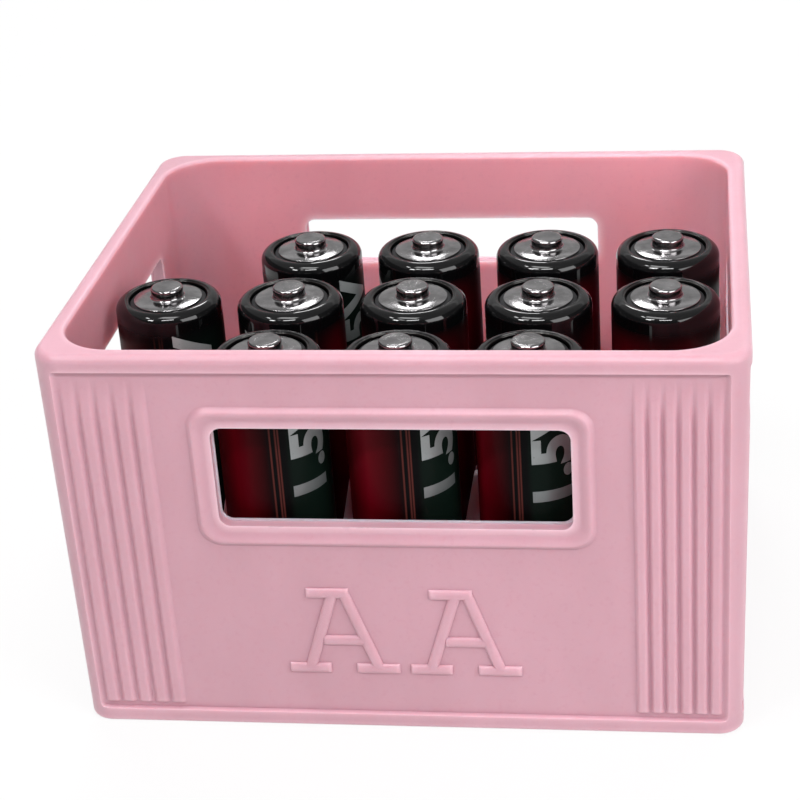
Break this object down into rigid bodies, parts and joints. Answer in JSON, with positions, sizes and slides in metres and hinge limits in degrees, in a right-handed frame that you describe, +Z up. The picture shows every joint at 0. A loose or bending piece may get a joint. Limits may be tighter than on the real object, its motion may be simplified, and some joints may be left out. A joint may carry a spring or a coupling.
{
  "type": "battery box",
  "caption": "Open moulded box like a small bottle crate, with windows in its walls, a slotted divider grid and upright round cells that lift out.",
  "frame": {"origin": "the middle of the underside of the crate", "axes": "+X along the long face to the right, +Y from the front face to the back, +Z up"},
  "size_m": [0.09, 0.073, 0.0555],
  "materials": {
    "pink_plastic": "satin moulded plastic",
    "printed_steel": "gloss printed jacket, black shoulder over dark red with a dark green band",
    "sealing_plastic": "black",
    "plated_steel": "bright nickel plate"
  },
  "bodies": {
    "crate": {"crate_shell": "pink_plastic", "divider_long_1": "pink_plastic", "divider_long_2": "pink_plastic", "divider_long_3": "pink_plastic", "divider_cross_1": "pink_plastic", "divider_cross_2": "pink_plastic", "divider_cross_3": "pink_plastic", "divider_cross_4": "pink_plastic"},
    "battery_a2": {"battery_a2_jacket": "printed_steel", "battery_a2_washer": "sealing_plastic", "battery_a2_cap": "plated_steel", "battery_a2_plate": "plated_steel"},
    "battery_a3": {"battery_a3_jacket": "printed_steel", "battery_a3_washer": "sealing_plastic", "battery_a3_cap": "plated_steel", "battery_a3_plate": "plated_steel"},
    "battery_a4": {"battery_a4_jacket": "printed_steel", "battery_a4_washer": "sealing_plastic", "battery_a4_cap": "plated_steel", "battery_a4_plate": "plated_steel"},
    "battery_b1": {"battery_b1_jacket": "printed_steel", "battery_b1_washer": "sealing_plastic", "battery_b1_cap": "plated_steel", "battery_b1_plate": "plated_steel"},
    "battery_b2": {"battery_b2_jacket": "printed_steel", "battery_b2_washer": "sealing_plastic", "battery_b2_cap": "plated_steel", "battery_b2_plate": "plated_steel"},
    "battery_b3": {"battery_b3_jacket": "printed_steel", "battery_b3_washer": "sealing_plastic", "battery_b3_cap": "plated_steel", "battery_b3_plate": "plated_steel"},
    "battery_b4": {"battery_b4_jacket": "printed_steel", "battery_b4_washer": "sealing_plastic", "battery_b4_cap": "plated_steel", "battery_b4_plate": "plated_steel"},
    "battery_b5": {"battery_b5_jacket": "printed_steel", "battery_b5_washer": "sealing_plastic", "battery_b5_cap": "plated_steel", "battery_b5_plate": "plated_steel"},
    "battery_c2": {"battery_c2_jacket": "printed_steel", "battery_c2_washer": "sealing_plastic", "battery_c2_cap": "plated_steel", "battery_c2_plate": "plated_steel"},
    "battery_c3": {"battery_c3_jacket": "printed_steel", "battery_c3_washer": "sealing_plastic", "battery_c3_cap": "plated_steel", "battery_c3_plate": "plated_steel"},
    "battery_c4": {"battery_c4_jacket": "printed_steel", "battery_c4_washer": "sealing_plastic", "battery_c4_cap": "plated_steel", "battery_c4_plate": "plated_steel"},
    "battery_c5": {"battery_c5_jacket": "printed_steel", "battery_c5_washer": "sealing_plastic", "battery_c5_cap": "plated_steel", "battery_c5_plate": "plated_steel"}
  },
  "joints": [
    {"name": "battery_a2_lift", "type": "slide", "parent": "crate", "child": "battery_a2", "axis": [0, 0, 1], "range_m": [0, 0.06]},
    {"name": "battery_a3_lift", "type": "slide", "parent": "crate", "child": "battery_a3", "axis": [0, 0, 1], "range_m": [0, 0.06]},
    {"name": "battery_a4_lift", "type": "slide", "parent": "crate", "child": "battery_a4", "axis": [0, 0, 1], "range_m": [0, 0.06]},
    {"name": "battery_b1_lift", "type": "slide", "parent": "crate", "child": "battery_b1", "axis": [0, 0, 1], "range_m": [0, 0.06]},
    {"name": "battery_b2_lift", "type": "slide", "parent": "crate", "child": "battery_b2", "axis": [0, 0, 1], "range_m": [0, 0.06]},
    {"name": "battery_b3_lift", "type": "slide", "parent": "crate", "child": "battery_b3", "axis": [0, 0, 1], "range_m": [0, 0.06]},
    {"name": "battery_b4_lift", "type": "slide", "parent": "crate", "child": "battery_b4", "axis": [0, 0, 1], "range_m": [0, 0.06]},
    {"name": "battery_b5_lift", "type": "slide", "parent": "crate", "child": "battery_b5", "axis": [0, 0, 1], "range_m": [0, 0.06]},
    {"name": "battery_c2_lift", "type": "slide", "parent": "crate", "child": "battery_c2", "axis": [0, 0, 1], "range_m": [0, 0.06]},
    {"name": "battery_c3_lift", "type": "slide", "parent": "crate", "child": "battery_c3", "axis": [0, 0, 1], "range_m": [0, 0.06]},
    {"name": "battery_c4_lift", "type": "slide", "parent": "crate", "child": "battery_c4", "axis": [0, 0, 1], "range_m": [0, 0.06]},
    {"name": "battery_c5_lift", "type": "slide", "parent": "crate", "child": "battery_c5", "axis": [0, 0, 1], "range_m": [0, 0.06]}
  ]
}
